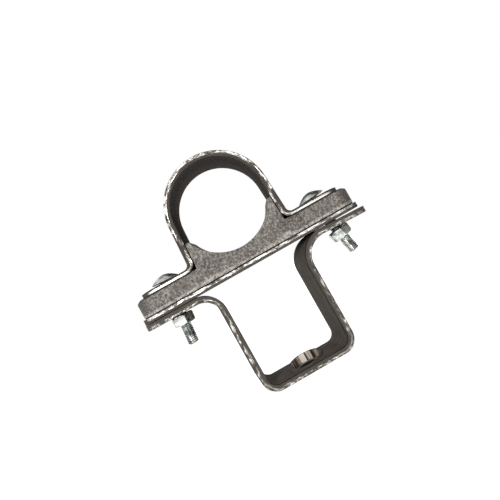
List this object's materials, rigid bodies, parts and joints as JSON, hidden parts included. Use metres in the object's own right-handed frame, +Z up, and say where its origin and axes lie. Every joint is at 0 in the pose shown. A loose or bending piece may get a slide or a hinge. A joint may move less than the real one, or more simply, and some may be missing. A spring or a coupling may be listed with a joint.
{
  "type": "two-bolt pipe clamp",
  "caption": "Pipe clamp: a bent steel strap holds a round pipe on a horned saddle, and a U strap below a plate holds a square tube; bolts with nuts close all of it.",
  "frame": {"origin": "centre of the round pipe bore, half way along the pipe", "axes": "+X along the plates to the right, +Y along the pipe to the rear, +Z up out of the top of the strap"},
  "size_m": [0.1652, 0.03, 0.1565],
  "materials": {
    "strap_steel": "bare rolled steel, dark scale with worn sheared edges",
    "saddle_iron": "grey, fine grainy cast skin",
    "zinc_fastener": "bright zinc plated"
  },
  "bodies": {
    "lower_strap": {"lower_strap": "strap_steel"},
    "upper_strap": {"upper_strap": "strap_steel"},
    "saddle": {"saddle": "saddle_iron"},
    "base_plate": {"base_plate": "strap_steel"},
    "left_bolt": {"left_bolt": "zinc_fastener"},
    "right_bolt": {"right_bolt": "zinc_fastener"},
    "left_nut": {"left_nut": "zinc_fastener"},
    "right_nut": {"right_nut": "zinc_fastener"}
  },
  "joints": [
    {"name": "upper_strap_lift", "type": "slide", "parent": "lower_strap", "child": "upper_strap", "axis": [0, 0, 1], "range_m": [0, 0.0075]},
    {"name": "saddle_lift", "type": "slide", "parent": "lower_strap", "child": "saddle", "axis": [0, 0, 1], "range_m": [0, 0.005]},
    {"name": "base_plate_lift", "type": "slide", "parent": "lower_strap", "child": "base_plate", "axis": [0, 0, 1], "range_m": [0, 0.0025]},
    {"name": "left_bolt_lift", "type": "slide", "parent": "lower_strap", "child": "left_bolt", "axis": [0.0785, 0, 0.9969], "range_m": [0, 0.00753]},
    {"name": "left_nut_turn", "type": "hinge", "parent": "lower_strap", "child": "left_nut", "pos_m": [-0.0576, 0, -0.04947], "axis": [-0.0785, 0, -0.9969], "range_deg": [0, 2168]},
    {"name": "right_bolt_lift", "type": "slide", "parent": "lower_strap", "child": "right_bolt", "axis": [-0.1994, 0, 0.9799], "range_m": [0, 0.00766]},
    {"name": "right_nut_turn", "type": "hinge", "parent": "lower_strap", "child": "right_nut", "pos_m": [0.06128, 0, -0.051], "axis": [0.1994, 0, -0.9799], "range_deg": [0, 2206]}
  ],
  "couplings": [
    {"joint": "saddle_lift", "follows": "upper_strap_lift", "ratio": 0.66667},
    {"joint": "base_plate_lift", "follows": "upper_strap_lift", "ratio": 0.33333},
    {"joint": "left_bolt_lift", "follows": "upper_strap_lift", "ratio": 1.0031},
    {"joint": "left_nut_turn", "follows": "upper_strap_lift", "rad_per_m": 5042.1},
    {"joint": "right_bolt_lift", "follows": "upper_strap_lift", "ratio": 1.0205},
    {"joint": "right_nut_turn", "follows": "upper_strap_lift", "rad_per_m": 5129.5}
  ]
}
